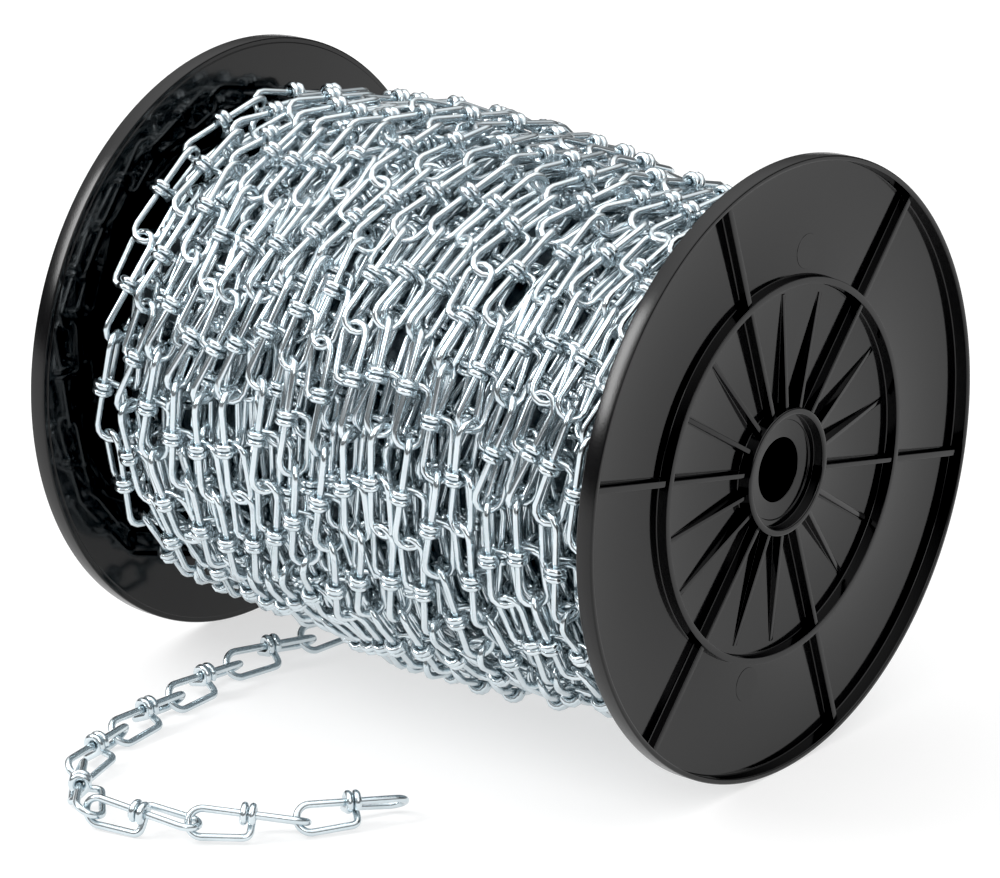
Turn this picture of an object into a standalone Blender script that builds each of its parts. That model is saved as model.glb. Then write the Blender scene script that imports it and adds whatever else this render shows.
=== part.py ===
# Reel of knotted double-loop steel chain: two moulded flanges, a core tube, the wound
# chain and the free end of the chain that runs out from under the reel along the floor.
# World frame: X along the reel's axis, Z up, origin on the floor under the reel's centre.
# Units are metres.

import math
from math import cos, pi, radians, sin

import bmesh
import bpy
from mathutils import Matrix, Vector

# Reel
REEL_WIDTH = 0.2910          # outer lip to outer lip
FLANGE_RADIUS = 0.1270
FLANGE_STEPS = 54            # 20 degrees is three steps, so every fin meets a corner
FLANGE_DEPTH = 0.0080        # web's inner face to the lip
WEB_THICKNESS = 0.0021
BAND_BACK = 0.0006           # the rim's inner edge stands back this far from the web's inner face
RIM_WALL = 0.0025
EDGE_ROUND = 0.0009
FLAT_TO_CORNER = 1.0 / cos(pi / FLANGE_STEPS)   # puts a facet's flat on the true radius

# Ribs on the outer face of a flange
RING_INNER_RADIUS = 0.0756
RING_OUTER_RADIUS = 0.0785
RING_HEIGHT = 0.0048         # above the web
SPOKE_COUNT = 6
SPOKE_HEIGHT_INNER = 0.0042
SPOKE_HEIGHT_OUTER = 0.0038
SPOKE_WIDTH_INNER = 0.0021
SPOKE_WIDTH_OUTER = 0.0028
FIN_WIDTH = 0.0019
FIN_OFFSET = radians(20.0)   # each fin from its spoke
FIN_TIP_RADIUS = 0.0720
FIN_TIP_HEIGHT = 0.0004
SPOKE_PHASE = radians(48.2)  # first spoke, from +Y towards +Z on the +X flange

# Hub and core
HUB_OUTER_RADIUS = 0.0261
HUB_INNER_RADIUS = 0.0233
HUB_FLOOR = 0.0033           # recessed floor, above the web's inner face
BORE_RADIUS = 0.0131
CORE_RADIUS = 0.0400
CORE_WALL = 0.0030
COLLAR_LENGTH = 0.0060       # collar inside the core tube that centres each flange
COLLAR_WALL = 0.0030
CLEARANCE = 0.0003           # between pieces that touch on the real reel

# Chain
WIRE = 0.00305
PITCH = 0.0427               # one link's share of the chain's length
LOOP_WIDTH = 0.0112          # across a loop's round end, centre to centre of the wire
KNOT_WIDTH = 0.0092          # the same where the return leg turns in to the knot
LINK_SLACK = 0.0003
LOOP_REACH = (PITCH + WIRE + LINK_SLACK) / 2.0   # knot to the wire's centre at a loop's end
WRAP_RADIUS = WIRE + 0.0002
WRAP_SHIFT = WIRE / 2.0 + 0.00012                # each wrap sits this far past the knot's middle
WRAP_END = radians(335.0)
CORNER_RADIUS = 0.0030
WIRE_SIDES_RESOLUTION = 1    # bevel resolution 1 gives a six-sided wire
WIRE_SHARP_ANGLE = radians(35.0)
WRAP_POINTS = 9
CORNER_POINTS = 3
LOOP_POINTS = 7
CAP_WELD = 0.00001

# Winding: the layers beneath are one turned solid, and the outermost layer is one strand that
# runs round it in a helix, from the -X flange to the +X flange
LAYERS = 4
WINDING_STEPS = 36
WINDING_ROWS = 12            # places along the solid where its outside is set
LAYER_GROOVE = 0.0045        # depth of the grooves between the layers, on both ends
LAYER_MARGIN = 0.0010        # from the bore to the first groove
WINDING_END_RADIUS = 0.1070  # over the outermost wires, beside the flanges
CROWN_RISE = 0.0115          # the winding is fuller round here
CROWN_PLACE = -0.0400
CROWN_REACH = 0.1500
CROWN_UNDER = 0.5            # share of that rise on the underside
SAG_DEPTH = 0.0120           # the turns hang looser under the reel round here
SAG_PLACE = 0.0450
SAG_REACH = 0.1400
STRAND_TURN = 0.0142         # from one turn to the next
STRAND_MARGIN = 0.0088       # from a flange's inner face to the middle of the nearest turn
STRAND_DEPTH = 0.0078        # from the outermost wires in to the line through the joints
STRAND_SEAT = 0.0077         # from that line in to the layers beneath
STRAND_WAVES = ((0.0034, 5.07, 0.4), (0.0024, 2.93, 2.1), (0.0005, 7.5, 4.0))
ROLL_MIDDLE = 270.0          # way the loops open, in degrees, as for the free end below
ROLL_WAVES = ((38.0, 2.4, 0.0), (14.0, 0.93, 1.0))
JOINT_SEARCH = 1.0           # the next joint lies within this angle of the last
JOINT_HALVINGS = 30
LOOP_HALF_WIDTH = 0.0055     # a wound link's two loops as plates, square to each other
LOOP_HALF_DEPTH = 0.0026
KNOT_HALF_WIDTH = 0.0042
JOINT_HALF_WIDTH = 0.0044

# Free end: the chain leaves the winding's underside here, then one heading for each link,
# in degrees from +X towards +Y, and the way each link's two loops open, in degrees round
# the heading from its right-hand side.
TAIL_START = (-0.0835, 0.0180)
TAIL_LIFT = 0.0020           # the first joint hangs this far above its height on the floor
TAIL_HEADINGS = (-94.0, -96.0, -82.0, -80.0, -70.0, -40.0, 22.0, 46.0, 68.0)
TAIL_ROLLS = (280.0, 280.0, 280.0, 270.0, 260.0, 250.0, 230.0, 250.0, 260.0)
LEAD_CLIMBS = (14.0, 50.0)   # the two links from the tail back up to the winding, in degrees
LEAD_ROLLS = (110.0, 300.0)

COLLECTION_NAME = "chain_reel"
CUTTERS_NAME = "chain_reel_cutters"


def clear_scene():
    for obj in list(bpy.data.objects):
        bpy.data.objects.remove(obj, do_unlink=True)


def make_collection(name):
    collection = bpy.data.collections.new(name)
    bpy.context.scene.collection.children.link(collection)
    return collection


def make_material(name, color, roughness, metallic):
    material = bpy.data.materials.new(name)
    material.use_nodes = True
    shader = material.node_tree.nodes["Principled BSDF"]
    shader.inputs["Base Color"].default_value = (*color, 1.0)
    shader.inputs["Roughness"].default_value = roughness
    shader.inputs["Metallic"].default_value = metallic
    return material


def add_object(name, mesh, collection, material):
    obj = bpy.data.objects.new(name, mesh)
    collection.objects.link(obj)
    mesh.materials.append(material)
    return obj


def shade(mesh):
    mesh.shade_smooth()
    mesh.set_sharp_from_angle(angle=WIRE_SHARP_ANGLE)


def turned_mesh(name, profile, steps):
    # A closed (radius, height) outline, ready for a Screw about Z; turned by half a step so
    # that a facet's flat, not a corner, looks along local X.
    half = pi / steps
    bm = bmesh.new()
    corners = [bm.verts.new((r * cos(half), r * sin(half), z)) for r, z in profile]
    for first, second in zip(corners, corners[1:] + corners[:1]):
        bm.edges.new((first, second))
    mesh = bpy.data.meshes.new(name)
    bm.to_mesh(mesh)
    bm.free()
    return mesh


def add_screw(obj, steps):
    screw = obj.modifiers.new("turn", "SCREW")
    screw.axis = "Z"
    screw.angle = 2.0 * pi
    screw.steps = steps
    screw.render_steps = steps
    screw.use_merge_vertices = True
    screw.merge_threshold = 0.0001
    screw.use_smooth_shade = True
    return screw


def flange_profile():
    # Heights start at the web's inner face and grow outwards, to the lip.
    rim = FLANGE_RADIUS * FLAT_TO_CORNER
    rim_inner = FLANGE_RADIUS - RIM_WALL
    web = WEB_THICKNESS
    ring_top = web + RING_HEIGHT
    collar_outer = CORE_RADIUS - CORE_WALL - CLEARANCE
    collar_inner = collar_outer - COLLAR_WALL
    return [
        (rim - EDGE_ROUND, FLANGE_DEPTH),
        (rim, FLANGE_DEPTH - EDGE_ROUND),
        (rim, BAND_BACK + EDGE_ROUND),
        (rim - EDGE_ROUND, BAND_BACK),
        (rim_inner, BAND_BACK),
        (rim_inner, 0.0),
        (collar_outer, 0.0),
        (collar_outer, -COLLAR_LENGTH),
        (collar_inner, -COLLAR_LENGTH),
        (collar_inner, 0.0),
        (BORE_RADIUS, 0.0),
        (BORE_RADIUS, HUB_FLOOR),
        (HUB_INNER_RADIUS, HUB_FLOOR),
        (HUB_INNER_RADIUS, FLANGE_DEPTH),
        (HUB_OUTER_RADIUS, FLANGE_DEPTH),
        (HUB_OUTER_RADIUS, web),
        (RING_INNER_RADIUS, web),
        (RING_INNER_RADIUS, ring_top),
        (RING_OUTER_RADIUS, ring_top),
        (RING_OUTER_RADIUS, web),
        (rim_inner, web),
        (rim_inner, FLANGE_DEPTH),
    ]


def add_rib(bm, angle, start, end, width, height, tip_height):
    # A bar from one radius to another, standing in the web, whose top may slope down.
    foot = WEB_THICKNESS / 2.0
    created = bmesh.ops.create_cube(bm, size=1.0)["verts"]
    for vert in created:
        outer = vert.co.x > 0.0
        top = WEB_THICKNESS + (tip_height if outer else height)
        x = end if outer else start
        y = vert.co.y * width
        z = top if vert.co.z > 0.0 else foot
        vert.co = Matrix.Rotation(angle, 3, "Z") @ Vector((x, y, z))


def rib_mesh(name, phase):
    hub_middle = (HUB_INNER_RADIUS + HUB_OUTER_RADIUS) / 2.0
    ring_middle = (RING_INNER_RADIUS + RING_OUTER_RADIUS) / 2.0
    rim_middle = FLANGE_RADIUS - RIM_WALL / 2.0
    bm = bmesh.new()
    for index in range(SPOKE_COUNT):
        angle = phase + index * 2.0 * pi / SPOKE_COUNT
        add_rib(bm, angle, hub_middle, ring_middle - CLEARANCE, SPOKE_WIDTH_INNER,
                SPOKE_HEIGHT_INNER, SPOKE_HEIGHT_INNER)
        add_rib(bm, angle, ring_middle + CLEARANCE, rim_middle, SPOKE_WIDTH_OUTER,
                SPOKE_HEIGHT_OUTER, SPOKE_HEIGHT_OUTER)
        for side in (-1.0, 1.0):
            add_rib(bm, angle + side * FIN_OFFSET, hub_middle, FIN_TIP_RADIUS, FIN_WIDTH,
                    SPOKE_HEIGHT_INNER, FIN_TIP_HEIGHT)
    mesh = bpy.data.meshes.new(name)
    bm.to_mesh(mesh)
    bm.free()
    return mesh


def make_flange(name, side, collection, cutters, material):
    # side is +1 for the flange at +X and -1 for the one at -X.
    mesh = turned_mesh(name, flange_profile(), FLANGE_STEPS)
    flange = add_object(name, mesh, collection, material)
    add_screw(flange, FLANGE_STEPS)
    flange.location = (side * (REEL_WIDTH / 2.0 - FLANGE_DEPTH), 0.0, FLANGE_RADIUS)
    flange.rotation_euler = (0.0, side * pi / 2.0, 0.0)

    # Local X looks down on the +X flange and up on the other one.
    phase = SPOKE_PHASE + pi / 2.0 if side > 0.0 else pi / 2.0 - SPOKE_PHASE
    ribs = add_object(name + "_ribs", rib_mesh(name + "_ribs", phase), cutters, material)
    ribs.matrix_basis = flange.matrix_basis
    ribs.hide_render = True
    ribs.display_type = "WIRE"

    union = flange.modifiers.new("ribs", "BOOLEAN")
    union.operation = "UNION"
    union.solver = "EXACT"
    union.object = ribs
    return flange


def make_core(collection, material):
    length = REEL_WIDTH - 2.0 * (FLANGE_DEPTH + CLEARANCE)
    inner = CORE_RADIUS - CORE_WALL
    profile = [
        (CORE_RADIUS, length / 2.0),
        (CORE_RADIUS, -length / 2.0),
        (inner * FLAT_TO_CORNER, -length / 2.0),
        (inner * FLAT_TO_CORNER, length / 2.0),
    ]
    core = add_object("core_tube", turned_mesh("core_tube", profile, FLANGE_STEPS), collection,
                      material)
    add_screw(core, FLANGE_STEPS)
    core.location = (0.0, 0.0, FLANGE_RADIUS)
    core.rotation_euler = (0.0, pi / 2.0, 0.0)
    return core


def swell(x, middle, reach):
    share = (x - middle) / reach
    return max(0.0, 1.0 - share * share) ** 2


def outside_radius(x, angle):
    # Radius over the outermost wires; angle runs round the reel's axis from +Y towards +Z.
    below = max(0.0, -sin(angle)) ** 2
    crown = CROWN_RISE * swell(x, CROWN_PLACE, CROWN_REACH) * (1.0 - (1.0 - CROWN_UNDER) * below)
    sag = SAG_DEPTH * swell(x, SAG_PLACE, SAG_REACH) * below
    return WINDING_END_RADIUS + crown + sag


def winding_half():
    return REEL_WIDTH / 2.0 - FLANGE_DEPTH - CLEARANCE


def winding_profile():
    # Local +Z becomes world +X. Rounded layers show on both ends.
    half = winding_half()
    bore = (CORE_RADIUS + CLEARANCE) / cos(pi / WINDING_STEPS)
    outside = []
    for index in range(WINDING_ROWS):
        x = half - LAYER_GROOVE / 2.0 - (2.0 * half - LAYER_GROOVE) * index / (WINDING_ROWS - 1)
        thinnest = min(outside_radius(x, pi / 2.0), outside_radius(x, -pi / 2.0))
        outside.append((thinnest - STRAND_DEPTH - STRAND_SEAT, x))

    start = bore + LAYER_MARGIN
    layer = (outside[0][0] - start) / LAYERS
    ends = []
    for index in range(LAYERS):
        groove = start + layer * index
        ends.append((groove, half - LAYER_GROOVE / 2.0))
        ends.append((groove + layer / 2.0, half))
    profile = outside
    profile += [(radius, -height) for radius, height in reversed(ends)]
    profile += [(bore, -half + LAYER_GROOVE), (bore, half - LAYER_GROOVE)]
    profile += ends
    return profile


def make_winding(collection, material):
    mesh = turned_mesh("chain_winding", winding_profile(), WINDING_STEPS)
    winding = add_object("chain_winding", mesh, collection, material)
    add_screw(winding, WINDING_STEPS)
    winding.location = (0.0, 0.0, FLANGE_RADIUS)
    winding.rotation_euler = (0.0, pi / 2.0, 0.0)
    return winding


def strand_point(angle):
    # A point of the outermost layer's line, a helix that wanders from side to side
    reach = winding_half() - STRAND_MARGIN
    x = -reach + STRAND_TURN * angle / (2.0 * pi)
    wander = sum(size * sin(count * angle + phase) for size, count, phase in STRAND_WAVES)
    x += wander * max(0.0, 1.0 - (x / winding_half()) ** 2) ** 0.5
    radius = outside_radius(x, angle) - STRAND_DEPTH
    return Vector((x, radius * cos(angle), FLANGE_RADIUS + radius * sin(angle)))


def strand_joints():
    # The links are straight, so each joint is one pitch from the last as the crow flies
    turns = 2.0 * (winding_half() - STRAND_MARGIN) / STRAND_TURN
    last = 2.0 * pi * turns
    angle = 0.0
    joints = [strand_point(angle)]
    while True:
        low, high = angle, angle + JOINT_SEARCH
        for _ in range(JOINT_HALVINGS):
            angle = (low + high) / 2.0
            if (strand_point(angle) - joints[-1]).length < PITCH:
                low = angle
            else:
                high = angle
        if angle > last:
            return joints
        joints.append(strand_point(angle))


def strand_roll(index):
    waves = sum(size * sin(count * index + phase) for size, count, phase in ROLL_WAVES)
    return ROLL_MIDDLE + waves


def strand_rings():
    # Four corners round each section of each link: joint, first loop, knot, second loop. The
    # first loop opens an eighth of a turn past the roll, and the second as far short of it.
    sections = (
        (0.0, JOINT_HALF_WIDTH, JOINT_HALF_WIDTH),
        (0.25, LOOP_HALF_WIDTH, LOOP_HALF_DEPTH),
        (0.5, KNOT_HALF_WIDTH, KNOT_HALF_WIDTH),
        (0.75, LOOP_HALF_DEPTH, LOOP_HALF_WIDTH),
    )
    joints = strand_joints()
    rings = []
    quarters = 0
    for index, (start, end) in enumerate(zip(joints, joints[1:])):
        middle = (start + end) / 2.0
        outward = Vector((0.0, middle.y, middle.z - FLANGE_RADIUS))
        forward = (end - start).normalized()
        right = forward.cross(outward).normalized()
        up = right.cross(forward)
        roll = strand_roll(index)
        # Corners join those of the link before by the shortest way round
        if index > 0:
            quarters += round((roll - strand_roll(index - 1)) / 90.0)
        for share, first, second in sections:
            centre = start.lerp(end, share)
            ring = []
            for corner in range(4):
                quarter = corner - quarters
                angle = radians(roll + 45.0 + 90.0 * quarter)
                reach = first if quarter % 2 == 0 else second
                ring.append(centre + (right * cos(angle) + up * sin(angle)) * reach)
            rings.append(ring)
    return rings


def make_strand(collection, material):
    # A loft through the unlike sections of the links, closed at both ends
    bm = bmesh.new()
    rings = [[bm.verts.new(corner) for corner in ring] for ring in strand_rings()]
    for first, second in zip(rings, rings[1:]):
        for side in range(4):
            after = (side + 1) % 4
            bm.faces.new((first[side], first[after], second[after], second[side]))
    bm.faces.new(rings[0])
    bm.faces.new(rings[-1])
    bmesh.ops.recalc_face_normals(bm, faces=bm.faces)
    mesh = bpy.data.meshes.new("wound_strand")
    bm.to_mesh(mesh)
    bm.free()
    return add_object("wound_strand", mesh, collection, material)


def arc_points(centre, first, second, radius, start, end, count):
    # Points on an arc in the plane of two unit vectors.
    points = []
    for index in range(count):
        angle = start + (end - start) * index / (count - 1)
        points.append(centre + first * (radius * cos(angle)) + second * (radius * sin(angle)))
    return points


def half_link(along, leg, side):
    # One loop of a link, from the cut end of its wrap to the straight wire through the knot.
    # along points from the knot to the loop's end, leg from the straight wire to the return
    # leg, and side square to both. The return leg passes the knot's middle before it turns in.
    origin = Vector((0.0, 0.0, 0.0))
    wrap_centre = origin - along * WRAP_SHIFT
    tangent = math.acos(WRAP_RADIUS / KNOT_WIDTH)
    points = arc_points(wrap_centre, leg, side, WRAP_RADIUS, WRAP_END, tangent, WRAP_POINTS)

    corner = wrap_centre + leg * KNOT_WIDTH
    round_centre = along * (LOOP_REACH - LOOP_WIDTH / 2.0) + leg * (LOOP_WIDTH / 2.0)
    round_start = round_centre + leg * (LOOP_WIDTH / 2.0)
    inward = (points[-1] - corner).normalized()
    outward = (round_start - corner).normalized()
    for index in range(CORNER_POINTS):
        share = index / (CORNER_POINTS - 1)
        before = corner + inward * (CORNER_RADIUS * (1.0 - share))
        after = corner + outward * (CORNER_RADIUS * share)
        points.append((before * (1.0 - share) + after * share))

    points += arc_points(round_centre, along, leg, LOOP_WIDTH / 2.0, pi / 2.0, -pi / 2.0,
                         LOOP_POINTS)
    return points


def link_points():
    # The first loop lies along -X and opens to +Y, the second along +X and opens to +Z.
    x, y, z = Vector((1, 0, 0)), Vector((0, 1, 0)), Vector((0, 0, 1))
    first = half_link(-x, y, z)
    second = half_link(x, z, y)
    return first + list(reversed(second))


def basis(forward, opening):
    side = forward.cross(opening).normalized()
    return Matrix((forward, side.cross(forward), side)).transposed()


def placed_link(start, end, roll):
    # The link's wire between two joints, seen from their middle. The pull runs from one loop's
    # middle to the other's, and the two loops open to both sides of one direction, the roll.
    pull = Vector((2.0 * (LOOP_REACH - LOOP_WIDTH / 2.0), -LOOP_WIDTH / 2.0, LOOP_WIDTH / 2.0))
    centre = Vector((0.0, LOOP_WIDTH / 4.0, LOOP_WIDTH / 4.0))
    bisector = Vector((0.0, 1.0, 1.0)).normalized()
    forward = (end - start).normalized()
    right = forward.cross(Vector((0.0, 0.0, 1.0))).normalized()
    up = right.cross(forward)
    opening = right * cos(radians(roll)) + up * sin(radians(roll))
    turn = basis(forward, opening) @ basis(pull.normalized(), bisector).inverted()
    return [turn @ (point - centre) for point in link_points()]


def rest_height(roll):
    # Height of the joints of a level link that lies just clear of the floor.
    level = placed_link(Vector((0.0, 0.0, 0.0)), Vector((PITCH, 0.0, 0.0)), roll)
    return WIRE / 2.0 + CLEARANCE - min(point.z for point in level)


def tail_joints():
    heights = [rest_height(roll) for roll in TAIL_ROLLS]
    place = Vector((*TAIL_START, heights[0] + TAIL_LIFT))
    joints = [place]
    for index, heading in enumerate(TAIL_HEADINGS):
        height = max(heights[index:index + 2])
        rise = height - place.z
        run = (PITCH * PITCH - rise * rise) ** 0.5
        place = place + Vector((run * cos(radians(heading)), run * sin(radians(heading)), rise))
        joints.append(place)
    return joints


def lead_joints():
    # Back from the tail's first joint, up against the underside of the winding
    joints = [tail_joints()[0]]
    for climb in LEAD_CLIMBS:
        step = Vector((0.0, PITCH * cos(radians(climb)), PITCH * sin(radians(climb))))
        joints.append(joints[-1] + step)
    return joints


def add_link(name, start, end, roll, collection, material):
    curve = bpy.data.curves.new(name, "CURVE")
    curve.dimensions = "3D"
    curve.bevel_depth = WIRE / 2.0
    curve.bevel_resolution = WIRE_SIDES_RESOLUTION
    curve.use_fill_caps = True
    points = placed_link(start, end, roll)
    spline = curve.splines.new("POLY")
    spline.points.add(len(points) - 1)
    for spot, point in zip(spline.points, points):
        spot.co = (*point, 1.0)

    guide = bpy.data.objects.new(name + "_curve", curve)
    collection.objects.link(guide)
    guide.location = (start + end) / 2.0
    bpy.context.view_layer.update()
    depsgraph = bpy.context.evaluated_depsgraph_get()
    mesh = bpy.data.meshes.new_from_object(guide.evaluated_get(depsgraph))
    bm = bmesh.new()
    bm.from_mesh(mesh)
    bmesh.ops.remove_doubles(bm, verts=bm.verts, dist=CAP_WELD)
    bm.to_mesh(mesh)
    bm.free()
    mesh.name = name
    mesh.materials.clear()
    link = add_object(name, mesh, collection, material)
    link.matrix_world = guide.matrix_world
    bpy.data.objects.remove(guide, do_unlink=True)
    shade(mesh)
    return link


def make_tail(collection, material):
    joints = tail_joints()
    links = []
    for index, roll in enumerate(TAIL_ROLLS):
        name = "tail_link_%02d" % (index + 1)
        links.append(add_link(name, joints[index], joints[index + 1], roll, collection, material))
    return links


def make_lead(collection, material):
    joints = lead_joints()
    links = []
    for index, roll in enumerate(LEAD_ROLLS):
        name = "lead_link_%02d" % (index + 1)
        links.append(add_link(name, joints[index + 1], joints[index], roll, collection, material))
    return links


def build():
    clear_scene()
    collection = make_collection(COLLECTION_NAME)
    cutters = make_collection(CUTTERS_NAME)
    black_plastic = make_material("black_gloss_plastic", (0.012, 0.012, 0.013), 0.18, 0.0)
    core_plastic = make_material("core_black_plastic", (0.020, 0.020, 0.020), 0.55, 0.0)
    zinc_steel = make_material("zinc_plated_steel", (0.72, 0.77, 0.80), 0.28, 1.0)

    pieces = [
        make_flange("near_flange", 1.0, collection, cutters, black_plastic),
        make_flange("far_flange", -1.0, collection, cutters, black_plastic),
        make_core(collection, core_plastic),
        make_winding(collection, zinc_steel),
        make_strand(collection, zinc_steel),
    ]
    pieces += make_lead(collection, zinc_steel)
    pieces += make_tail(collection, zinc_steel)

    reel = bpy.data.objects.new("chain_reel_origin", None)
    collection.objects.link(reel)
    for piece in pieces:
        piece.parent = reel


build()
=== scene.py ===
# Reel of double loop chain that lies on its rims, with the chain's free end on the floor.
# Metres. X runs along the reel's axis, Z is up, the origin is on the floor under the reel.

import math
import random

import bmesh
import bpy
from mathutils import Matrix, Vector


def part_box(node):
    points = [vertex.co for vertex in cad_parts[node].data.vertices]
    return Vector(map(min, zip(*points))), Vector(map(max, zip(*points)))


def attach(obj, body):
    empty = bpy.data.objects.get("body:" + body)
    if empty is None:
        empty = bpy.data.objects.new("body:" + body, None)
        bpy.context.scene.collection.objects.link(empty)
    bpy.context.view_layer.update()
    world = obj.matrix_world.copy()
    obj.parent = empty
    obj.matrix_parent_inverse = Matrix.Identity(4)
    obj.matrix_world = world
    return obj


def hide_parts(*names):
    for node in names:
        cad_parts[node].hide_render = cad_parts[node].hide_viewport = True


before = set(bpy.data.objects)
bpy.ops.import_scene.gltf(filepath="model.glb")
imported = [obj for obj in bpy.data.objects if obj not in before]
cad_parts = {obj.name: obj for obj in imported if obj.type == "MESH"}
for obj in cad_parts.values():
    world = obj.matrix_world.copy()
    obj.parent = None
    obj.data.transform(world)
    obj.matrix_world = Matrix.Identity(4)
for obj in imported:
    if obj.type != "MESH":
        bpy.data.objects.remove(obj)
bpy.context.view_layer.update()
scene = bpy.context.scene
xAxis = Vector((1.0, 0.0, 0.0))
yAxis = Vector((0.0, 1.0, 0.0))
zAxis = Vector((0.0, 0.0, 1.0))

nearLow, nearHigh = (Vector(corner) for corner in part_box("near_flange"))
reelRadius = (nearHigh.z - nearLow.z) / 2.0
reelAxis = Vector((0.0, 0.0, reelRadius))     # the middle of the reel
lipPlane = nearHigh.x                         # the outermost face of the near flange
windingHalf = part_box("chain_winding")[1][0]   # the wound chain reaches this far each way
print("frame loaded, reel radius", round(reelRadius, 4))


# Shader maths: arithmetic on sockets adds the Math nodes
class Wire:
    def __init__(self, tree, socket):
        self.tree = tree
        self.socket = socket

    def maths(self, operation, first, second):
        node = self.tree.nodes.new("ShaderNodeMath")
        node.operation = operation
        for place, item in enumerate((first, second)):
            if isinstance(item, Wire):
                self.tree.links.new(item.socket, node.inputs[place])
            else:
                node.inputs[place].default_value = item
        return Wire(self.tree, node.outputs[0])

    def __add__(self, other):
        return self.maths("ADD", self, other)

    def __radd__(self, other):
        return self.maths("ADD", other, self)

    def __sub__(self, other):
        return self.maths("SUBTRACT", self, other)

    def __mul__(self, other):
        return self.maths("MULTIPLY", self, other)

    def __truediv__(self, other):
        return self.maths("DIVIDE", self, other)

    def __pow__(self, other):
        return self.maths("POWER", self, other)

    def within(self, low, high):
        return self.maths("MINIMUM", self.maths("MAXIMUM", self, low), high)

    def split(self):
        node = self.tree.nodes.new("ShaderNodeSeparateXYZ")
        self.tree.links.new(self.socket, node.inputs[0])
        return [Wire(self.tree, socket) for socket in node.outputs]


class Finish:
    def __init__(self, name):
        self.material = bpy.data.materials.new(name)
        self.material.use_nodes = True
        self.tree = self.material.node_tree
        self.shader = self.tree.nodes["Principled BSDF"]

    # Any node: its type, the output that is used, then what its sockets hold or are fed
    def add(self, kind, output, inputs):
        node = self.tree.nodes.new(kind)
        for name, value in inputs.items():
            self.feed(node.inputs[name], value)
        return Wire(self.tree, node.outputs[output])

    def feed(self, socket, value):
        if isinstance(value, Wire):
            self.tree.links.new(value.socket, socket)
        else:
            socket.default_value = value

    def set(self, **inputs):
        for name, value in inputs.items():
            self.feed(self.shader.inputs[name.replace("_", " ")], value)

    def objectPlace(self):
        return self.add("ShaderNodeTexCoord", "Object", {})

    def noise(self, scale, detail=2.0):
        inputs = {"Vector": self.objectPlace(), "Scale": scale, "Detail": detail}
        return self.add("ShaderNodeTexNoise", "Fac", inputs)

    def blend(self, factor, low, high):
        node = self.tree.nodes.new("ShaderNodeMix")
        node.data_type = "RGBA"
        self.feed(node.inputs[0], factor)
        node.inputs[6].default_value = (*low, 1.0)
        node.inputs[7].default_value = (*high, 1.0)
        return Wire(self.tree, node.outputs[2])

    def overRadius(self, low, high):
        # 0 within the low radius round the reel's axis, 1 past the high one
        across, height = self.objectPlace().split()[1:]
        up = height - reelRadius
        radius = (across * across + up * up) ** 0.5
        return ((radius - low) / (high - low)).within(0.0, 1.0)

    def bump(self, height, distance, strength=1.0):
        inputs = {"Height": height, "Distance": distance, "Strength": strength}
        return self.add("ShaderNodeBump", "Normal", inputs)


# Finishes
def glossBlackPlastic():
    finish = Finish("gloss_black_plastic")
    broad = finish.noise(14.0, 3.0)
    fine = finish.noise(420.0)
    grain = finish.noise(1500.0)
    # The rim's outer band is frosted
    rim = finish.overRadius(reelRadius - 0.0012, reelRadius - 0.0006)
    height = fine * 0.02 + grain * rim
    finish.set(
        Base_Color=finish.blend(broad, (0.0010, 0.0010, 0.0012), (0.0025, 0.0025, 0.0028)),
        Roughness=0.06 + broad * 0.04 + fine * 0.03 + rim * 0.12,
        Normal=finish.bump(height, 0.00005, 0.5),
        IOR=1.41,
    )
    return finish.material


def mattBlackPlastic():
    finish = Finish("matt_black_plastic")
    grain = finish.noise(900.0, 3.0)
    finish.set(
        Base_Color=finish.blend(grain, (0.012, 0.012, 0.012), (0.024, 0.024, 0.025)),
        Roughness=0.45 + grain * 0.2,
        Normal=finish.bump(grain, 0.00005),
    )
    return finish.material


def zincPlatedSteel():
    finish = Finish("zinc_plated_steel")
    patches = finish.noise(70.0, 3.0)
    speckle = finish.noise(1100.0)
    finish.set(
        Base_Color=finish.blend(patches, (0.50, 0.58, 0.62), (0.76, 0.82, 0.85)),
        Metallic=1.0,
        Roughness=0.12 + patches * 0.08 + speckle * 0.07,
        Normal=finish.bump(speckle, 0.00003, 0.6),
    )
    return finish.material


def shadedSteel():
    finish = Finish("deep_wound_steel_painted_shade")
    # Painted shade: the zinc steel is darkened almost to black to stand in for the shade between
    # the deep turns, and the noise paints lighter wires with shaded gaps between them
    strandsAndShade = finish.noise(160.0, 4.0)
    finish.set(
        Base_Color=finish.blend(strandsAndShade, (0.02, 0.03, 0.035), (0.25, 0.30, 0.33)),
        Metallic=0.9,
        Roughness=0.35 + strandsAndShade * 0.2,
        Normal=finish.bump(strandsAndShade, 0.002),
    )
    return finish.material


def paleFloor():
    # A light table: white acrylic lit from beneath
    finish = Finish("pale_floor")
    cloud = finish.noise(3.0)
    finish.set(
        Base_Color=finish.blend(cloud, (0.34, 0.34, 0.34), (0.36, 0.36, 0.36)),
        Roughness=0.6,
        Emission_Color=(1.0, 1.0, 1.0, 1.0),
        Emission_Strength=studio["tableGlow"],
    )
    return finish.material


glossBlack = glossBlackPlastic()
mattBlack = mattBlackPlastic()
zincSteel = zincPlatedSteel()
paintedShadeSteel = shadedSteel()
print("finishes made")


# Mesh helpers
def addPiece(name, mesh, material):
    piece = bpy.data.objects.new(name, mesh)
    scene.collection.objects.link(piece)
    mesh.materials.append(material)
    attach(piece, "root")
    return piece


def meshOf(bm, name, sharpAngle=math.radians(40.0)):
    mesh = bpy.data.meshes.new(name)
    bm.to_mesh(mesh)
    bm.free()
    mesh.shade_smooth()
    mesh.set_sharp_from_angle(angle=sharpAngle)
    return mesh


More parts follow.
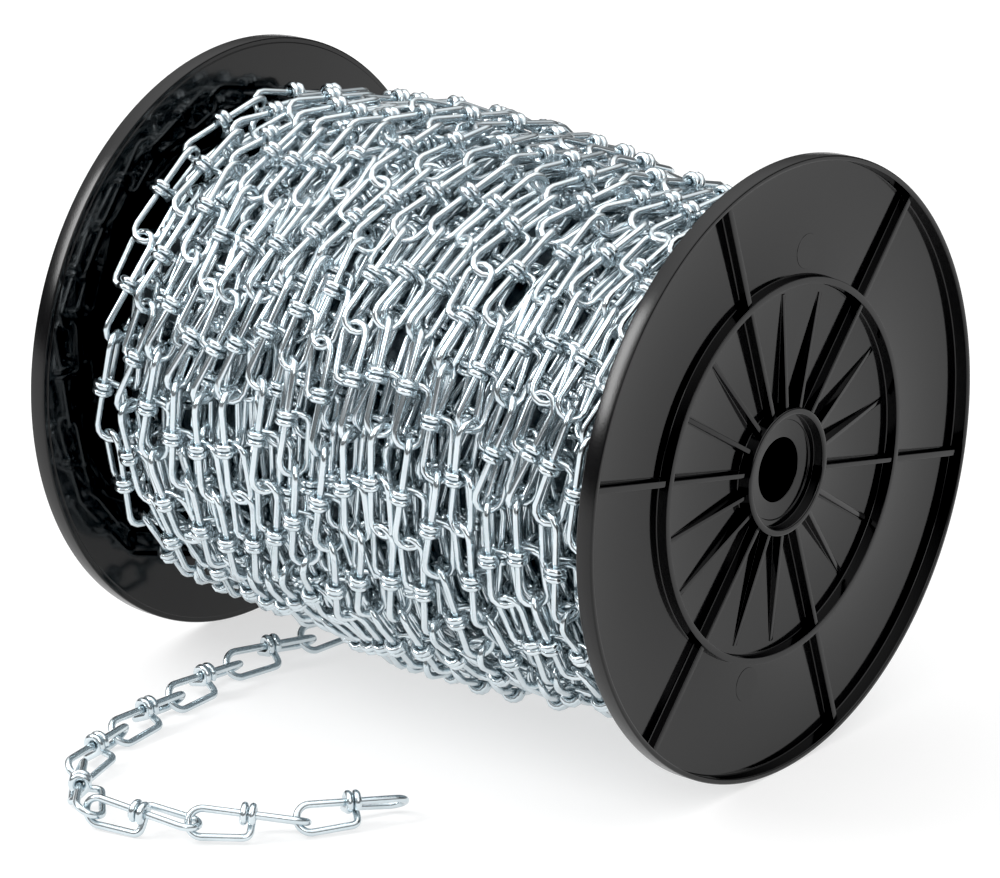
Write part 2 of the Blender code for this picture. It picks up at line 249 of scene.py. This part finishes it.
def roundedOutline(corners, pieces=3):
    # Each corner is (radius from the axis, height, rounding); a rounded one becomes an arc
    outline = []
    for index, (r, z, rounding) in enumerate(corners):
        corner = Vector((r, z))
        if rounding == 0.0:
            outline.append(corner)
            continue
        before = Vector(corners[index - 1][:2]) - corner
        after = Vector(corners[(index + 1) % len(corners)][:2]) - corner
        start = corner + before.normalized() * rounding
        end = corner + after.normalized() * rounding
        for step in range(pieces + 1):
            share = step / pieces
            first = start.lerp(corner, share)
            outline.append(first.lerp(corner.lerp(end, share), share))
    return outline


def turned(outline, steps):
    # A closed outline of (radius, height) pairs, turned round Z
    weld = 0.000001
    bm = bmesh.new()
    corners = [bm.verts.new((r, 0.0, z)) for r, z in outline]
    edges = [bm.edges.new(pair) for pair in zip(corners, corners[1:] + corners[:1])]
    bmesh.ops.spin(bm, geom=corners + edges, cent=(0, 0, 0), axis=(0, 0, 1),
                   angle=2.0 * math.pi, steps=steps, use_merge=True)
    bmesh.ops.remove_doubles(bm, verts=bm.verts, dist=weld)
    return bm


def layDown(bm, side=1.0, offset=0.0):
    # From standing on Z to lying on the reel's axis, with its top towards that side
    bmesh.ops.recalc_face_normals(bm, faces=bm.faces)
    place = Matrix.Translation(reelAxis + xAxis * offset)
    turn = Matrix.Rotation(side * math.pi / 2.0, 4, "Y")
    bmesh.ops.transform(bm, verts=bm.verts, matrix=place @ turn)


# The flanges
flange = {
    "depth": 0.0080,            # the web's inner face to the lip
    "web": 0.0021,
    "bandBack": 0.0006,         # the rim's band starts this far from the web's inner face
    "bandBackRounding": 0.0002,
    "rimWall": 0.0023,
    "ringInner": 0.0756,
    "ringOuter": 0.0785,
    "ringHeight": 0.0048,
    "hubOuter": 0.0261,
    "hubInner": 0.0233,
    "hubFloor": 0.0033,
    "hubStep": 0.0204,          # radius and height of a fine step in the hub's floor
    "hubStepHeight": 0.0005,
    "bore": 0.0131,
    "collarOuter": 0.0367,
    "collarInner": 0.0337,
    "collarLength": 0.0060,
    "edge": 0.0007,             # rounding of free edges
    "foot": 0.0006,             # fillet where a wall meets the web
    "ribSink": 0.0002,          # a rib's foot goes this far into the web
    "steps": 216,
    "spokes": 6,
    "spokePhase": math.radians(48.2),
    "spokeInner": (0.0021, 0.0042),   # width and height above the web
    "spokeOuter": (0.0028, 0.0038),
    "fin": (0.0019, 0.0042),
    "finOffset": math.radians(20.0),
    "finTip": (0.0720, 0.0003),       # radius and height at the pointed end
    "pinMarkRadius": 0.00715,
    "pinMarkPlace": 0.0878,
    "pinMarkAngles": (78.2, 258.2),
    "pinMarkHeight": 0.00012,
    "pinMarkEdge": 0.00012,
    "pinMarkSteps": 64,
}


def flangeOutline(size):
    rim = reelRadius
    rimInner = rim - size["rimWall"]
    web = size["web"]
    ringTop = web + size["ringHeight"]
    edge = size["edge"]
    foot = size["foot"]
    fine = edge / 2.5
    stepFloor = size["hubFloor"] - size["hubStepHeight"]
    return roundedOutline([
        (rim, size["depth"], edge),
        (rim, size["bandBack"], edge),
        (rimInner, size["bandBack"], size["bandBackRounding"]),
        (rimInner, 0.0, fine),
        (size["collarOuter"], 0.0, 0.0),
        (size["collarOuter"], -size["collarLength"], 0.0),
        (size["collarInner"], -size["collarLength"], 0.0),
        (size["collarInner"], 0.0, 0.0),
        (size["bore"], 0.0, 0.0),
        (size["bore"], stepFloor, fine),
        (size["hubStep"], stepFloor, fine),
        (size["hubStep"], size["hubFloor"], fine),
        (size["hubInner"], size["hubFloor"], foot / 2.0),
        (size["hubInner"], size["depth"], edge),
        (size["hubOuter"], size["depth"], edge),
        (size["hubOuter"], web, foot),
        (size["ringInner"], web, foot),
        (size["ringInner"], ringTop, fine),
        (size["ringOuter"], ringTop, fine),
        (size["ringOuter"], web, foot),
        (rimInner, web, foot),
        (rimInner, size["depth"], edge),
    ])


def addRib(bm, size, angle, start, end, width, height, tipHeight):
    # A bar with rounded top edges and fillets at its foot, from one radius to another
    half = width / 2.0
    foot = size["foot"]
    sink = size["ribSink"]
    section = roundedOutline([
        (-half - foot * 1.6, -sink, 0.0),
        (-half - foot, 0.0, 0.0),
        (-half, 0.0, foot * 0.9),
        (-half, height, size["edge"] / 2.0),
        (half, height, size["edge"] / 2.0),
        (half, 0.0, foot * 0.9),
        (half + foot, 0.0, 0.0),
        (half + foot * 1.6, -sink, 0.0),
    ])
    turn = Matrix.Rotation(angle, 3, "Z")
    loops = []
    for radius, top in ((start, height), (end, tipHeight)):
        loop = []
        for y, z in section:
            lift = z * top / height if z > 0.0 else z
            loop.append(bm.verts.new(turn @ Vector((radius, y, size["web"] + lift))))
        loops.append(loop)
    edges = []
    for loop in loops:
        edges += [bm.edges.new(pair) for pair in zip(loop, loop[1:] + loop[:1])]
    bmesh.ops.bridge_loops(bm, edges=edges)
    bmesh.ops.holes_fill(bm, edges=edges, sides=0)


def addRibs(bm, size, phase):
    hubMiddle = (size["hubInner"] + size["hubOuter"]) / 2.0
    ringMiddle = (size["ringInner"] + size["ringOuter"]) / 2.0
    rimMiddle = reelRadius - size["rimWall"] / 2.0
    for index in range(size["spokes"]):
        angle = phase + index * 2.0 * math.pi / size["spokes"]
        width, height = size["spokeInner"]
        addRib(bm, size, angle, hubMiddle, ringMiddle, width, height, height)
        width, height = size["spokeOuter"]
        addRib(bm, size, angle, ringMiddle, rimMiddle, width, height, height)
        width, height = size["fin"]
        tipRadius, tipHeight = size["finTip"]
        for side in (-1.0, 1.0):
            finAngle = angle + side * size["finOffset"]
            addRib(bm, size, finAngle, hubMiddle, tipRadius, width, height, tipHeight)


def addPinMarks(bm, size, side):
    # Faint raised circles that the mould's ejector pins leave
    for degrees in size["pinMarkAngles"]:
        angle = math.radians(degrees) * side + math.pi / 2.0
        place = Vector((math.cos(angle), math.sin(angle), 0.0)) * size["pinMarkPlace"]
        place.z = size["web"]
        foot = size["pinMarkRadius"]
        top = foot - size["pinMarkEdge"]
        bmesh.ops.create_cone(
            bm, cap_ends=True, segments=size["pinMarkSteps"], radius1=foot, radius2=top,
            depth=size["pinMarkHeight"] * 2.0, matrix=Matrix.Translation(place))


def makeFlange(name, node, side):
    size = flange
    bm = turned(flangeOutline(size), size["steps"])
    addRibs(bm, size, math.pi / 2.0 + side * size["spokePhase"])
    addPinMarks(bm, size, side)
    layDown(bm, side, side * (lipPlane - size["depth"]))
    piece = addPiece(name, meshOf(bm, name), glossBlack)
    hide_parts(node)


makeFlange("flange_near", "near_flange", 1.0)
makeFlange("flange_far", "far_flange", -1.0)
print("flanges made")


# One link of the chain
link = {
    "wire": 0.00305,
    "pitch": 0.0427,
    "loopWidth": 0.0112,        # wire centre to wire centre at a loop's round end
    "knotWidth": 0.0092,        # the same beside the knot
    "slack": 0.0003,
    "cornerRadius": 0.0030,
    "wrapGap": 0.0002,          # between a wrap and the wire inside it
    "wrapShift": 0.00012,       # half the gap between the knot's two wraps
    "wrapEnd": math.radians(335.0),
    "weld": 0.00001,
    "sharpAngle": math.radians(75.0),     # the wire is shaded round, its cut ends are not
}


def loopReach(size):
    # From the knot's middle to the wire's centre at a loop's end
    return (size["pitch"] + size["wire"] + size["slack"]) / 2.0


def arcPoints(centre, first, second, radius, start, end, count):
    points = []
    for index in range(count):
        angle = start + (end - start) * index / (count - 1)
        across = first * (radius * math.cos(angle))
        points.append(centre + across + second * (radius * math.sin(angle)))
    return points


def halfLink(size, along, leg, side, detail):
    # One loop, from the cut end of its wrap to the straight wire through the knot. The detail
    # sets how many points each bend has
    width = size["loopWidth"]
    wrapRadius = size["wire"] + size["wrapGap"]
    wrapCentre = -along * (size["wire"] / 2.0 + size["wrapShift"])
    tangent = math.acos(wrapRadius / size["knotWidth"])
    points = arcPoints(wrapCentre, leg, side, wrapRadius, size["wrapEnd"], tangent,
                       4 + 5 * detail)

    corner = wrapCentre + leg * size["knotWidth"]
    roundCentre = along * (loopReach(size) - width / 2.0) + leg * (width / 2.0)
    roundStart = roundCentre + leg * (width / 2.0)
    inward = (points[-1] - corner).normalized()
    outward = (roundStart - corner).normalized()
    for index in range(1 + 2 * detail):
        share = index / (2 * detail)
        before = corner + inward * (size["cornerRadius"] * (1.0 - share))
        after = corner + outward * (size["cornerRadius"] * share)
        points.append(before.lerp(after, share))
    points += arcPoints(roundCentre, along, leg, width / 2.0, math.pi / 2.0, -math.pi / 2.0,
                        3 + 4 * detail)
    return points


def linkLine(size, detail):
    first = halfLink(size, -xAxis, yAxis, zAxis, detail)
    second = halfLink(size, xAxis, zAxis, yAxis, detail)
    return first + second[::-1]


def linkMesh(name, size, detail, bevel):
    # A bevel resolution of 1 gives the wire six sides, 2 eight and 4 twelve
    curve = bpy.data.curves.new(name, "CURVE")
    curve.dimensions = "3D"
    curve.bevel_depth = size["wire"] / 2.0
    curve.bevel_resolution = bevel
    curve.use_fill_caps = True
    line = linkLine(size, detail)
    spline = curve.splines.new("POLY")
    spline.points.add(len(line) - 1)
    for spot, point in zip(spline.points, line):
        spot.co = (*point, 1.0)
    guide = bpy.data.objects.new(name, curve)
    scene.collection.objects.link(guide)
    bpy.context.view_layer.update()
    graph = bpy.context.evaluated_depsgraph_get()
    mesh = bpy.data.meshes.new_from_object(guide.evaluated_get(graph))
    bpy.data.objects.remove(guide)
    bm = bmesh.new()
    bm.from_mesh(mesh)
    bmesh.ops.remove_doubles(bm, verts=bm.verts, dist=size["weld"])
    bpy.data.meshes.remove(mesh)
    return meshOf(bm, name, size["sharpAngle"])


def basis(forward, opening):
    side = forward.cross(opening).normalized()
    return Matrix((forward, side.cross(forward), side)).transposed()


def linkPlace(size, start, end, up, roll):
    # Both loops open to the two sides of one direction, turned round the link by the roll
    width = size["loopWidth"]
    pull = Vector((2.0 * loopReach(size) - width, -width / 2.0, width / 2.0)).normalized()
    middle = Vector((0.0, width / 4.0, width / 4.0))
    bisector = Vector((0.0, 1.0, 1.0)).normalized()
    forward = (end - start).normalized()
    right = forward.cross(up).normalized()
    upward = right.cross(forward)
    opening = right * math.cos(roll) + upward * math.sin(roll)
    turn = basis(forward, opening) @ basis(pull, bisector).inverted()
    place = Matrix.Translation((start + end) / 2.0) @ turn.to_4x4()
    return place @ Matrix.Translation(-middle)


def joinLinks(name, template, places):
    bm = bmesh.new()
    for place in places:
        copy = template.copy()
        copy.transform(place)
        bm.from_mesh(copy)
        bpy.data.meshes.remove(copy)
    return addPiece(name, meshOf(bm, name, link["sharpAngle"]), zincSteel)


# The free end of the chain, with the same joints as the solid model
tail = {
    "start": (-0.0835, 0.0180),
    "lift": 0.0020,             # the first joint hangs this far above its height on the floor
    "headings": (-94.0, -96.0, -82.0, -80.0, -70.0, -40.0, 22.0, 46.0, 68.0),
    "rolls": (280.0, 280.0, 280.0, 270.0, 260.0, 250.0, 230.0, 250.0, 260.0),
    "leadClimbs": (14.0, 50.0),           # two links back up to the winding
    "leadRolls": (110.0, 300.0),
    "clearance": 0.0003,                  # over the floor
    "diameter": 0.0170,
    "detail": 3,
    "bevel": 4,
}


def restHeight(roll):
    place = linkPlace(link, Vector(), xAxis * link["pitch"], zAxis, math.radians(roll))
    lowest = min((place @ point).z for point in linkLine(link, 1))
    return link["wire"] / 2.0 + tail["clearance"] - lowest


def tailJoints():
    heights = [restHeight(roll) for roll in tail["rolls"]]
    place = Vector((*tail["start"], heights[0] + tail["lift"]))
    joints = [place]
    for index, heading in enumerate(tail["headings"]):
        rise = max(heights[index:index + 2]) - place.z
        run = math.sqrt(link["pitch"] ** 2 - rise ** 2)
        turn = math.radians(heading)
        place = place + Vector((run * math.cos(turn), run * math.sin(turn), rise))
        joints.append(place)
    return joints


def leadJoints(start):
    # From the tail's first joint back up against the underside of the winding
    joints = [start]
    for climb in tail["leadClimbs"]:
        turn = math.radians(climb)
        step = yAxis * math.cos(turn) + zAxis * math.sin(turn)
        joints.append(joints[-1] + step * link["pitch"])
    return joints[::-1]


def makeTail():
    joints = tailJoints()
    joints = leadJoints(joints[0])[:-1] + joints
    rolls = tail["leadRolls"][::-1] + tail["rolls"]
    template = linkMesh("tail_link", link, tail["detail"], tail["bevel"])
    places = [linkPlace(link, start, end, zAxis, math.radians(roll))
              for start, end, roll in zip(joints, joints[1:], rolls)]
    piece = joinLinks("chain_tail", template, places)
    names = ["lead_link_%02d" % (index + 1) for index in range(len(tail["leadRolls"]))]
    names += ["tail_link_%02d" % (index + 1) for index in range(len(tail["rolls"]))]
    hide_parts(*names)
    reach = link["loopWidth"] / 2.0
    route = list(joints)
    route[0] = joints[0] - (joints[1] - joints[0]).normalized() * reach / 2.0
    route[-1] = joints[-1] + (joints[-1] - joints[-2]).normalized() * reach / 2.0
    length = sum((b - a).length for a, b in zip(route, route[1:]))
    print("free end made,", len(rolls), "links,", round(length, 3), "m")


makeTail()


# The wound chain. The outermost layer has the same line as the solid strand
winding = {
    "endRadius": 0.1070,        # over the outermost wires, beside the flanges
    "crown": (0.0115, -0.0400, 0.1500),   # fuller here: how much, where along X and how far round
    "crownUnder": 0.5,                    # share of that on the underside
    "sag": (0.0120, 0.0450, 0.1400),      # looser under the reel here
    "turn": 0.0142,             # from one turn to the next
    "margin": 0.0088,           # from a flange to the middle of the nearest turn
    "depth": 0.0078,            # from the outermost wires in to the line through the joints
    "waves": ((0.0034, 5.07, 0.4), (0.0024, 2.93, 2.1), (0.0005, 7.5, 4.0)),
    "rollWaves": ((38.0, 2.4, 0.0), (14.0, 0.93, 1.0)),
    "rollMiddle": 270.0,
    "jointSearch": 1.0,         # the next joint lies within this angle of the last
    "jointHalvings": 30,
    "detail": 1,
    "bevel": 2,
    "seed": 7,                  # from here on for the layers beneath
    "layers": 4,
    "layerDepth": 0.0070,
    "wander": 0.0030,
    "wanderShares": (0.3, 1.0),
    "wanderCounts": (2.0, 3.0, 5.0),
    "countSpread": 0.15,
    "topPhase": 6.3,
    "offsets": (0.35, 0.65),
    "rollSpread": 40.0,
    "bevelBeneath": 1,
}


def swell(x, rise, middle, reach):
    share = (x - middle) / reach
    return rise * max(0.0, 1.0 - share * share) ** 2


def outsideRadius(x, angle):
    # angle runs round X from +Y towards +Z
    below = max(0.0, -math.sin(angle)) ** 2
    crown = swell(x, *winding["crown"]) * (1.0 - (1.0 - winding["crownUnder"]) * below)
    return winding["endRadius"] + crown + swell(x, *winding["sag"]) * below


def strandPoint(angle, waves, layer=0, offset=0.0):
    # A point of a layer's helix, which wanders from side to side
    reach = windingHalf - winding["margin"]
    x = -reach + winding["turn"] * (angle / (2.0 * math.pi) + offset)
    wander = sum(size * math.sin(count * angle + phase) for size, count, phase in waves)
    x += wander * math.sqrt(max(0.0, 1.0 - (x / windingHalf) ** 2))
    radius = outsideRadius(x, angle) - winding["depth"] - layer * winding["layerDepth"]
    return reelAxis + Vector((x, radius * math.cos(angle), radius * math.sin(angle)))


def strandJoints(waves, layer=0, offset=0.0):
    # The links are straight, so each joint is one pitch from the last as the crow flies
    span = 2.0 * (windingHalf - winding["margin"])
    last = 2.0 * math.pi * (span / winding["turn"] - offset)
    angle = 0.0
    joints = [strandPoint(angle, waves, layer, offset)]
    while True:
        low, high = angle, angle + winding["jointSearch"]
        for _ in range(winding["jointHalvings"]):
            angle = (low + high) / 2.0
            step = strandPoint(angle, waves, layer, offset) - joints[-1]
            if step.length < link["pitch"]:
                low = angle
            else:
                high = angle
        if angle > last:
            return joints
        joints.append(strandPoint(angle, waves, layer, offset))


def woundPlaces(joints, rolls):
    places = []
    for start, end, roll in zip(joints, joints[1:], rolls):
        middle = (start + end) / 2.0
        outward = Vector((0.0, middle.y, middle.z - reelRadius))
        places.append(linkPlace(link, start, end, outward, math.radians(roll)))
    return places


def makeOutermostLayer():
    joints = strandJoints(winding["waves"])
    rolls = [winding["rollMiddle"] + sum(size * math.sin(count * index + phase)
                                         for size, count, phase in winding["rollWaves"])
             for index in range(len(joints) - 1)]
    template = linkMesh("wound_link", link, winding["detail"], winding["bevel"])
    layer = joinLinks("wound_layer_1", template, woundPlaces(joints, rolls))
    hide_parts("wound_strand")
    print("wound_layer_1", len(rolls), "links", len(layer.data.polygons), "faces")


def makeLayerBeneath(index, maker):
    spread = winding["countSpread"]
    waves = []
    for middle in winding["wanderCounts"]:
        size = winding["wander"] * maker.uniform(*winding["wanderShares"])
        count = middle + maker.uniform(-spread, spread)
        waves.append((size, count, maker.uniform(0.0, winding["topPhase"])))
    joints = strandJoints(waves, index, maker.uniform(*winding["offsets"]))
    rolls = [maker.gauss(winding["rollMiddle"], winding["rollSpread"]) for _ in joints]
    template = linkMesh("wound_link", link, winding["detail"], winding["bevelBeneath"])
    name = "wound_layer_%d" % (index + 1)
    layer = joinLinks(name, template, woundPlaces(joints, rolls))
    print(name, len(joints) - 1, "links", len(layer.data.polygons), "faces")


# The turns that lie too deep to be seen one by one
deepWinding = {
    "overlap": 0.3,             # its outside reaches this share of a layer into the last one
    "endGap": 0.0008,
    "bore": 0.0406,
    "rows": 40,
    "ripple": 0.0012,
    "steps": 96,
}


def makeDeepWinding():
    size = deepWinding
    deep = winding["depth"] + (winding["layers"] - size["overlap"]) * winding["layerDepth"]
    half = windingHalf - size["endGap"]
    outline = []
    for index in range(size["rows"] + 1):
        x = half - 2.0 * half * index / size["rows"]
        ripple = size["ripple"] * math.cos(x / winding["turn"] * 2.0 * math.pi)
        outline.append((outsideRadius(x, 0.0) - deep + ripple, x))
    outline += [(size["bore"], -half), (size["bore"], half)]
    bm = turned(outline, size["steps"])
    layDown(bm)
    # Its steel is darkened with painted shade
    piece = addPiece("deep_winding", meshOf(bm, "deep_winding"), paintedShadeSteel)
    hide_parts("chain_winding")


makeOutermostLayer()
layerMaker = random.Random(winding["seed"])
for layerIndex in range(1, winding["layers"]):
    makeLayerBeneath(layerIndex, layerMaker)
makeDeepWinding()
print("wound chain made")

# The core keeps the solid model's shape
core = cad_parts["core_tube"]
core.data.materials.clear()
core.data.materials.append(mattBlack)


# The floor, the light and the camera
studio = {
    "floorSize": 9.0,
    "tableGlow": 0.64,
    "horizon": 0.10,            # brightness of the sky low down and overhead
    "zenith": 2.2,
    "key": ((-1.16, -1.33, 1.48), (0.55, 1.41), 32.0),     # place, width and height, power
    "fill": ((1.6, -1.4, 1.4), (0.9, 0.9), 8.0),
    "cameraPlace": (1.3166, -1.6335, 0.8421),
    "cameraTurn": 38.89,        # degrees left of +Y
    "cameraDown": 19.26,
    "lens": 194.36,
    "sensorWidth": 36.0,
    "farClip": 50.0,
    "blackLevel": 0.004,        # as dark as this prints black
}


def makeFloor():
    bm = bmesh.new()
    bmesh.ops.create_grid(bm, x_segments=1, y_segments=1, size=studio["floorSize"] / 2.0)
    floor = bpy.data.objects.new("floor", meshOf(bm, "floor"))
    scene.collection.objects.link(floor)
    floor.data.materials.append(paleFloor())


def addLight(name):
    place, size, power = studio[name]
    lamp = bpy.data.lights.new(name, "AREA")
    lamp.shape = "RECTANGLE"
    lamp.size, lamp.size_y = size
    lamp.energy = power
    light = bpy.data.objects.new(name, lamp)
    scene.collection.objects.link(light)
    light.location = place
    # The lamp faces the reel with its width along the reel's axis
    back = (Vector(place) - reelAxis).normalized()
    across = (xAxis - back * xAxis.dot(back)).normalized()
    light.rotation_euler = Matrix((across, back.cross(across), back)).transposed().to_euler()
    light.visible_camera = False


def makeSky():
    # Brightest overhead, like a room with one large soft box above the table
    world = bpy.data.worlds.new("sky")
    world.use_nodes = True
    tree = world.node_tree
    place = tree.nodes.new("ShaderNodeTexCoord")
    up = Wire(tree, place.outputs["Generated"]).split()[2]
    height = up.within(0.0, 1.0)
    strength = studio["horizon"] + height ** 2.0 * (studio["zenith"] - studio["horizon"])
    background = tree.nodes["Background"]
    tree.links.new(strength.socket, background.inputs["Strength"])
    background.inputs["Color"].default_value = (1.0, 1.0, 1.0, 1.0)
    scene.world = world


def setPrint():
    # A plain print of the light, with firm blacks
    scene.view_settings.view_transform = "Standard"
    scene.view_settings.use_curve_mapping = True
    scene.view_settings.curve_mapping.black_level = [studio["blackLevel"]] * 3


def makeCamera():
    lens = bpy.data.cameras.new("camera")
    lens.sensor_fit = "HORIZONTAL"
    lens.sensor_width = studio["sensorWidth"]
    lens.lens = studio["lens"]
    lens.clip_end = studio["farClip"]
    camera = bpy.data.objects.new("camera", lens)
    scene.collection.objects.link(camera)
    camera.location = studio["cameraPlace"]
    tilt = math.radians(90.0 - studio["cameraDown"])
    camera.rotation_euler = (tilt, 0.0, math.radians(studio["cameraTurn"]))
    scene.camera = camera


makeFloor()
makeSky()
setPrint()
for lightName in ("key", "fill"):
    addLight(lightName)
makeCamera()
print("studio made")
